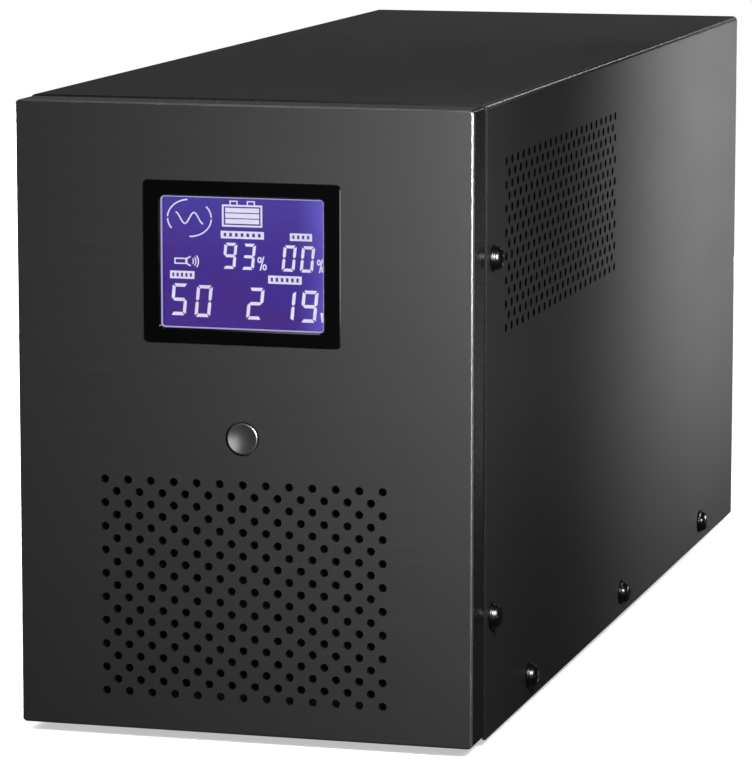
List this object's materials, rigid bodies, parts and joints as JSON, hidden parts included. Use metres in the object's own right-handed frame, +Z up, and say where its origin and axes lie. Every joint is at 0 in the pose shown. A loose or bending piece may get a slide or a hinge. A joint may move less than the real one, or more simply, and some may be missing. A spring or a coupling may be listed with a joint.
{
  "type": "uninterruptible power supply",
  "caption": "Tower uninterruptible power supply: black steel case with vented front and sides, backlit display, power button, rear fan, mains inlet and outlets, batteries and transformer.",
  "frame": {"origin": "on the floor, under the middle of the whole object's box", "axes": "+Z up, +Y from the front plate to the back, +X to the right when facing the front"},
  "size_m": [0.151, 0.4228, 0.1983],
  "materials": {
    "cover_paint": "satin black powder coat",
    "fascia_paint": "dark graphite, fine horizontal brushing under a satin coat",
    "bezel_plastic": "fine-grained black moulding",
    "gloss_black": "polished black",
    "clear_lens": "clear acrylic",
    "lcd_cell": "blue negative display cell",
    "light_guide": "white diffuser",
    "button_metal": "dark metallic",
    "black_screws": "black nickel",
    "zinc_screws": "zinc plated",
    "galvanised_steel": "galvanised sheet",
    "panel_paint": "satin black powder coat",
    "rubber_black": "moulded rubber",
    "battery_case": "moulded ABS",
    "lead_tab": "tinned tab",
    "connector_boot": "clear nylon boot",
    "foam": "closed-cell foam",
    "black_wire": "PVC insulation",
    "red_wire": "PVC insulation",
    "blue_wire": "PVC insulation",
    "ribbon_grey": "flat ribbon cable",
    "circuit_board": "green solder mask",
    "spring_steel": "spring wire",
    "switch_plastic": "black glass-filled moulding",
    "brass_pillar": "plain brass",
    "heat_sink_aluminium": "plain extrusion",
    "component_black": "moulded package",
    "relay_blue": "sealed relay case",
    "capacitor_sleeve": "shrink sleeve",
    "fuse_orange": "fuse body",
    "connector_white": "nylon connector",
    "core_steel": "varnished laminations",
    "bobbin_nylon": "glass-filled nylon",
    "copper_winding": "enamelled copper",
    "bearing_bronze": "sintered bronze",
    "guard_wire": "black-plated wire",
    "socket_plastic": "black moulded socket",
    "nut_plastic": "black moulded nut",
    "button_white": "ivory moulding",
    "port_shell": "nickel shield"
  },
  "bodies": {
    "case": {"cover": "cover_paint", "fascia": "fascia_paint", "front_bezel": "bezel_plastic", "lcd_frame": "gloss_black", "lcd_window": "clear_lens", "lcd_glass": "lcd_cell", "lcd_backlight": "light_guide", "cover_screws": "black_screws", "rear_screws": "black_screws", "fan_screws": "black_screws", "bezel_screws": "zinc_screws", "board_screws": "zinc_screws", "transformer_bolts": "zinc_screws", "chassis": "galvanised_steel", "board_tray": "galvanised_steel", "transformer_bracket": "galvanised_steel", "rear_panel": "panel_paint", "rubber_feet": "rubber_black", "left_battery": "battery_case", "right_battery": "battery_case", "battery_terminals": "lead_tab", "spade_connectors": "connector_boot", "battery_pads": "foam", "black_battery_leads": "black_wire", "fan_lead": "black_wire", "red_battery_lead": "red_wire", "power_leads": "blue_wire", "display_ribbon": "ribbon_grey", "display_board": "circuit_board", "main_board": "circuit_board", "ports_board": "circuit_board", "button_spring": "spring_steel", "power_switch": "switch_plastic", "buzzer": "switch_plastic", "fan_frame": "switch_plastic", "breaker_body": "switch_plastic", "board_standoffs": "brass_pillar", "inlet_blades": "brass_pillar", "outlet_contacts": "brass_pillar", "heat_sinks": "heat_sink_aluminium", "power_transistors": "component_black", "relays": "relay_blue", "capacitors": "capacitor_sleeve", "board_fuses": "fuse_orange", "board_connectors": "connector_white", "transformer_core": "core_steel", "transformer_bobbin": "bobbin_nylon", "transformer_winding": "copper_winding", "fan_stator": "copper_winding", "fan_bearing": "bearing_bronze", "fan_guard": "guard_wire", "inlet_socket": "socket_plastic", "outlet_sockets": "socket_plastic", "breaker_nut": "nut_plastic", "network_ports": "port_shell", "usb_port": "port_shell"},
    "button": {"power_button": "button_metal", "switch_plunger": "switch_plastic"},
    "rotor": {"fan_rotor": "switch_plastic"},
    "reset": {"breaker_button": "button_white"}
  },
  "joints": [
    {"name": "power_button_press", "type": "slide", "parent": "case", "child": "button", "axis": [0, 1, 0], "range_m": [0, 0.002], "stiffness_N_per_m": 900, "springref_m": -0.001, "deforming": ["button_spring"]},
    {"name": "fan_spin", "type": "hinge", "parent": "case", "child": "rotor", "pos_m": [-0.018, 0.1889, 0.148], "axis": [0, 1, 0], "continuous": true},
    {"name": "breaker_reset", "type": "slide", "parent": "case", "child": "reset", "axis": [0, 1, 0], "range_m": [0, 0.0035]}
  ]
}
